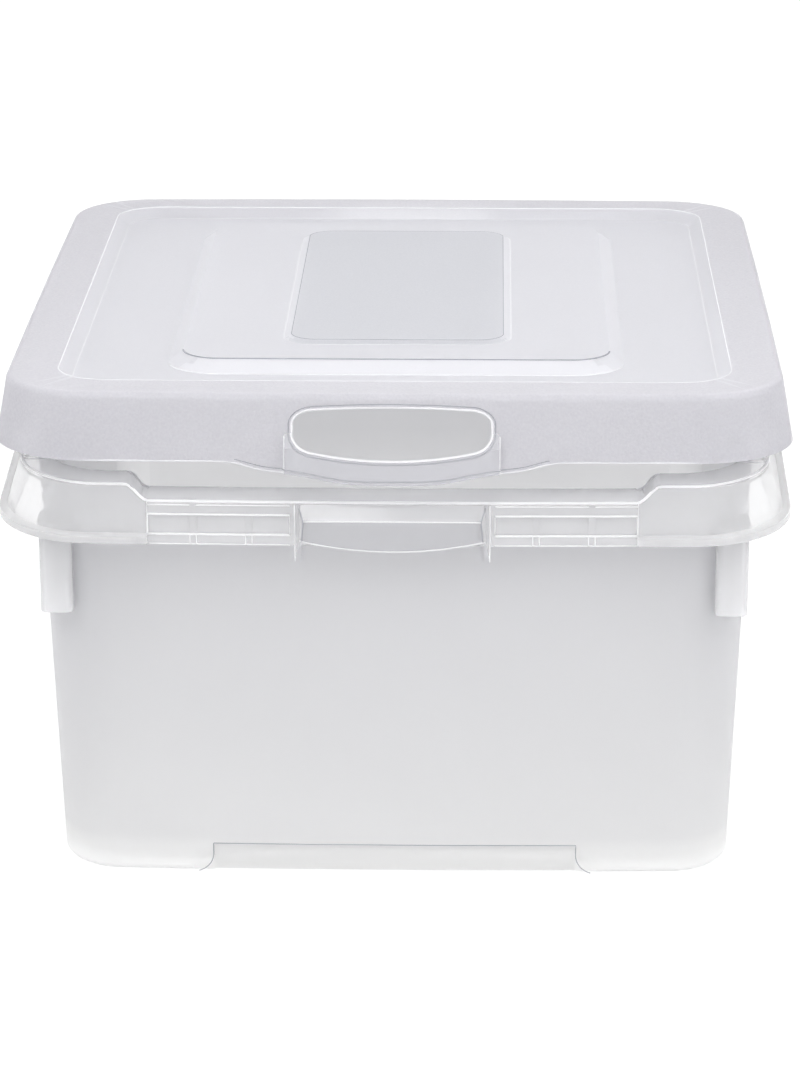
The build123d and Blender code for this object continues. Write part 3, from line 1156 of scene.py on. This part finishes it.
    def tongue_shade(self) -> list[Bead]:
        """Grey line of painted shade above each tongue's bottom edge, where the thick edge bends
        the light.
        """
        x = np.linspace(-self.shade_half, self.shade_half, num=120)
        z = self.tongue_dip(x) + self.shade_up
        on_flare = np.abs(x) < self.flare_half
        face = np.where(on_flare, self.skirt_face(z), self.slope_face(z)) + SINK
        bow = np.where(on_flare, 0.0, BOW_FRONT * (x / self.skirt_x) ** 2)
        return both_ends(Bead(line(x, face + bow, z), radius=0.18, across=UPRIGHT))

    def window_edge(self, grow: float = 0.0, sink: float = 0.5) -> np.ndarray:
        """Path round the front window, on the outer face of the skirt and its flare.

        A plain rounded rectangle is stretched up and down so that its top and bottom follow the
        bows of the window: height = middle + share of half the height there.

        Args:
            grow: How far outside the window's own edge.
            sink: How far behind the face.

        Returns:
            Points of a closed path in the lid's own frame.
        """
        top_middle, top_end = self.window_top
        bottom_middle, bottom_end = self.window_bottom
        half_x = self.window_x + grow
        half_z = (top_middle - bottom_middle) / 2 + grow
        x, up = rounded_loop(half_x, half_z, self.window_r + grow, count=300).T
        share = (x / half_x) ** 2
        top = top_middle + (top_end - top_middle) * share + grow
        bottom = bottom_middle + (bottom_end - bottom_middle) * share - grow
        z = (top + bottom) / 2 + up / half_z * (top - bottom) / 2
        return line(x, self.skirt_face(z) + sink, z)

    def flare_sides(self) -> list[Bead]:
        """Painted highlights: slanted lines where each window's thick foot meets the skirt on both
        sides.
        """
        z = np.linspace(self.side_from, self.flare_top - self.side_gap, num=20)
        y = (self.skirt_face(z) + self.slope_face(z)) / 2
        path = line(self.flare_half + self.side_out, y, z)
        sides = [Bead(way, radius=0.3, across=UPRIGHT) for way in (path, path * MIRROR_X)]
        return [copy for side in sides for copy in both_ends(side)]

    def loop_at(self, half: tuple[float, float, float], shift: float, z: float) -> np.ndarray:
        """Closed level path round a rounded rectangle of the lid's top.

        Args:
            half: Half width, half depth and corner radius.
            shift: Y of its middle.
            z: Its height.

        Returns:
            Points in the lid's own frame.
        """
        x, y = rounded_loop(*half).T
        return line(x, y + shift, z)

    def front_of(self, loop: np.ndarray, y: float) -> np.ndarray:
        """The part of a loop in front of a place, as an open path from left to right."""
        front = loop[loop[:, 1] < y]
        return front[np.argsort(front[:, 0])]

    def top_lines(self) -> list[Bead]:
        """Painted highlights on the recess's edges, the foot of the pad and the foot of the
        plateau's front.
        """
        slope = self.recess_slope
        outer = (self.recess_x, self.recess_y, self.recess_r + slope)
        inner = (self.recess_x - slope, self.recess_y - slope, self.recess_r)
        foot = tuple(size + self.pad_slope for size in self.pad)
        front = self.loop_at(self.plateau_foot, self.plateau_foot_shift, self.recess_floor)
        outer_z = self.recess_top - self.outer_sink
        inner_z = self.recess_floor - self.inner_sink
        foot_z = self.plateau_top - SINK
        return [
            Bead(self.loop_at(outer, 0.0, outer_z), radius=0.24, closed=True),
            Bead(self.loop_at(inner, 0.0, inner_z), radius=0.2, closed=True),
            Bead(self.loop_at(foot, self.pad_shift, foot_z), radius=0.22, closed=True),
            Bead(self.front_of(front, self.foot_front), radius=0.25),
        ]

    def top_shades(self) -> list[Bead]:
        """Painted shade on the edges of the pad's top and of the plateau's front."""
        front = self.loop_at(self.plateau, self.plateau_shift, self.plateau_top)
        pad = self.loop_at(self.pad, self.pad_shift, self.pad_top - SINK)
        return [
            Bead(pad, radius=0.15, closed=True),
            Bead(self.front_of(front, self.plateau_front), radius=0.32),
        ]

    def finish_numbers(self, mesh: bpy.types.Mesh) -> np.ndarray:
        """Choose a finish for every face by where its middle lies and how steep it is.

        Args:
            mesh: The lid's mesh, in the raised lid's place.

        Returns:
            Numbers in the order of the finishes that build gives the mesh.
        """
        x, y, z = self.own_place(face_middles(mesh)).T
        sloping = np.abs(face_directions(mesh)[:, 2]) < self.level_from
        in_recess = (np.abs(x) < self.recess_x) & (np.abs(y) < self.recess_y)
        past_skirt = np.abs(y) > -self.slope_face(z) + self.proud
        at_flare = (np.abs(x) < self.flare_half + self.flare_margin) & (z < self.flare_top)
        on_pad = (np.abs(x) < self.pad_x) & (y > self.pad_front) & (y < self.pad_rear)
        # The plateau's front slope gets the painted highlight.
        in_strip = (y > self.highlight_from) & (y < self.highlight_to)
        on_slope = in_strip & (np.abs(x) < self.plateau_foot[0])
        # Sloping walls of the recess get the paler veil that paints light into their shade.
        cases = [past_skirt & at_flare, on_slope, in_recess & sloping, on_pad, in_recess]
        return np.select(cases, [5, 3, 4, 2, 1], 0)

    def build(self) -> None:
        """Build the lid's pieces and give them their finishes."""
        piece = skin_of("lid", "lid_shell")
        flats = [self.band_finish, self.top_finish, self.pad_finish]
        finishes = [*flats, self.slope_highlight_finish, self.side_lit_finish, self.tongue_finish]
        dress(piece.data, finishes, self.finish_numbers(piece.data))
        self._ride(piece)
        rim = Bead(self.window_edge(), self.rim_r, closed=True, across=UPRIGHT)
        # Grey ring of painted shade just outside each window's rim.
        shade_ring_path = self.window_edge(self.shade_ring_out, SINK)
        shade_ring = Bead(shade_ring_path, radius=0.2, closed=True, across=UPRIGHT)
        # Pale beads are painted highlights and grey beads painted shade, along real rounded edges.
        bright = painted_highlight_edge("Polished polypropylene, rounded edges of the lid").build()
        grey = painted_shade_edge("Polished polypropylene, inner corners of the lid").build()
        groups = {
            "skirt_edge": ([Bead(self.skirt_edge(), self.lip_r, closed=True)], bright),
            "window_rims": (both_ends(rim), bright),
            "window_outlines": (both_ends(shade_ring), grey),
            "tongue_sides": (self.flare_sides(), bright),
            "tongue_shade": (self.tongue_shade(), grey),
            "top_lines": (self.top_lines(), bright),
            "top_shades": (self.top_shades(), grey),
        }
        for name, (beads, material) in groups.items():
            group = bead_piece(name, self.placed(beads))
            group.data.materials.append(material)
            self._ride(group)

    def _ride(self, piece: bpy.types.Object) -> None:
        """Fix a piece to the lid's body and log how many faces it has."""
        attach(piece, "lid")
        log.info("%s: %d faces", piece.name, len(piece.data.polygons))


@dataclass(frozen=True)
class Lamp:
    """Soft square lamp: its name, its place and side in millimetres, and its power in watts."""

    name: str
    place: tuple[float, float, float]
    side: float
    watts: float


@dataclass
class Studio:
    """White table, soft lights and the camera of the photograph."""

    focal_px: float = 4315.8
    frame_px: tuple[float, float] = (800.0, 1070.0)
    sensor_mm: float = 36.0
    pitch_deg: float = 21.33
    yaw_deg: float = 1.30
    roll_deg: float = -0.15
    distance: float = 1785.2
    target: tuple[float, float, float] = (-1.02, 0.0, 81.12)
    far_m: float = 100.0
    table_half: float = 30000.0
    table_grey: float = 0.12
    table_glow: float = 0.90
    soft_light: float = 1.12
    lamp_aim: tuple[float, float, float] = (0.0, 0.0, 90.0)
    lamps: tuple[Lamp, ...] = (
        Lamp("key", place=(-900, -1300, 1700), side=1400, watts=27),
        Lamp("fill", place=(1200, -900, 1300), side=1200, watts=18),
        Lamp("rear", place=(0, 1400, 1500), side=1500, watts=11),
    )

    def build(self) -> None:
        """Set up the whole stage."""
        self._camera()
        self._table()
        self._world()
        for lamp in self.lamps:
            self._light(lamp)
        bpy.context.scene.view_settings.view_transform = "Standard"

    def _camera(self) -> None:
        """Place the camera as fitted to the photograph's outline."""
        pitch = math.radians(self.pitch_deg)
        yaw = math.radians(self.yaw_deg)
        level = math.cos(pitch)
        back = Vector((math.sin(yaw) * level, -math.cos(yaw) * level, math.sin(pitch)))
        right = Vector((math.cos(yaw), math.sin(yaw), 0.0))
        rise = back.cross(right)
        roll = math.radians(self.roll_deg)
        right_rolled = math.cos(roll) * right + math.sin(roll) * rise
        rise_rolled = back.cross(right_rolled)
        data = bpy.data.cameras.new("photo_camera")
        data.sensor_width = self.sensor_mm
        data.lens = self.focal_px * self.sensor_mm / max(self.frame_px)
        data.clip_end = self.far_m
        camera = show("photo_camera", data)
        turn = Matrix((right_rolled, rise_rolled, back)).transposed().to_4x4()
        place = (Vector(self.target) + back * self.distance) * MM
        camera.matrix_world = Matrix.Translation(place) @ turn
        bpy.context.scene.camera = camera

    def _table(self) -> None:
        """Lay a large white table that shows the box's shadow."""
        half = self.table_half * MM
        mesh = bpy.data.meshes.new("table")
        corners = np.array([[-half, -half, 0], [half, -half, 0], [half, half, 0], [-half, half, 0]])
        mesh.from_pydata(corners.tolist(), [], [(0, 1, 2, 3)])
        table = show("table", mesh)
        material = bpy.data.materials.new("White table")
        material.use_nodes = True
        tree = material.node_tree
        tree.nodes.clear()
        matt = add_node(tree, "ShaderNodeBsdfDiffuse", inputs={"Color": linear("#F4F4F5")})
        grey = (self.table_grey, self.table_grey, self.table_grey, 1)
        dim = add_node(tree, "ShaderNodeBsdfDiffuse", inputs={"Color": grey})
        glow = add_node(
            tree, "ShaderNodeEmission", inputs={"Color": WHITE, "Strength": self.table_glow}
        )
        white = add_node(
            tree, "ShaderNodeAddShader", inputs={0: dim.outputs[0], 1: glow.outputs[0]}
        )
        mixed = add_node(
            tree,
            "ShaderNodeMixShader",
            inputs={0: self._seen_directly(tree), 1: matt.outputs[0], 2: white.outputs[0]},
        )
        add_node(tree, "ShaderNodeOutputMaterial", inputs={"Surface": mixed.outputs[0]})
        mesh.materials.append(material)

    def _seen_directly(self, tree: Tree) -> Socket:
        """1 for a ray that shows the white to the camera, also by way of gloss or plastic.

        Args:
            tree: Node tree that gets the nodes.

        Returns:
            Output socket with 0 or 1.
        """
        path = add_node(tree, "ShaderNodeLightPath")
        seen = path.outputs["Is Camera Ray"]
        for ray in ("Is Glossy Ray", "Is Transmission Ray"):
            either = add_node(
                tree,
                "ShaderNodeMath",
                settings={"operation": "MAXIMUM"},
                inputs={0: seen, 1: path.outputs[ray]},
            )
            seen = either.outputs[0]
        return seen

    def _world(self) -> None:
        """White backdrop for what is seen, and an even light of its own for what is lit."""
        world = bpy.data.worlds.new("studio")
        world.use_nodes = True
        tree = world.node_tree
        tree.nodes.clear()
        soft = add_node(
            tree,
            "ShaderNodeBackground",
            inputs={"Color": linear("#F8F8F9"), "Strength": self.soft_light},
        )
        white = add_node(tree, "ShaderNodeBackground", inputs={"Color": WHITE, "Strength": 1.0})
        mixed = add_node(
            tree,
            "ShaderNodeMixShader",
            inputs={0: self._seen_directly(tree), 1: soft.outputs[0], 2: white.outputs[0]},
        )
        add_node(tree, "ShaderNodeOutputWorld", inputs={"Surface": mixed.outputs[0]})
        bpy.context.scene.world = world

    def _light(self, lamp: Lamp) -> None:
        """Hang one lamp so that it shines at the middle of the box."""
        data = bpy.data.lights.new(lamp.name, "AREA")
        data.size = lamp.side * MM
        data.energy = lamp.watts
        light = show(lamp.name, data)
        light.location = Vector(lamp.place) * MM
        aim = Vector([value * MM for value in self.lamp_aim]) - light.location
        light.rotation_euler = aim.to_track_quat("-Z", "Y").to_euler()


def main() -> None:
    """Build the box and its stage in order."""
    logging.basicConfig(level=logging.INFO)
    Tub().build()
    Lid().build()
    Studio().build()


if __name__ == "__main__":
    main()
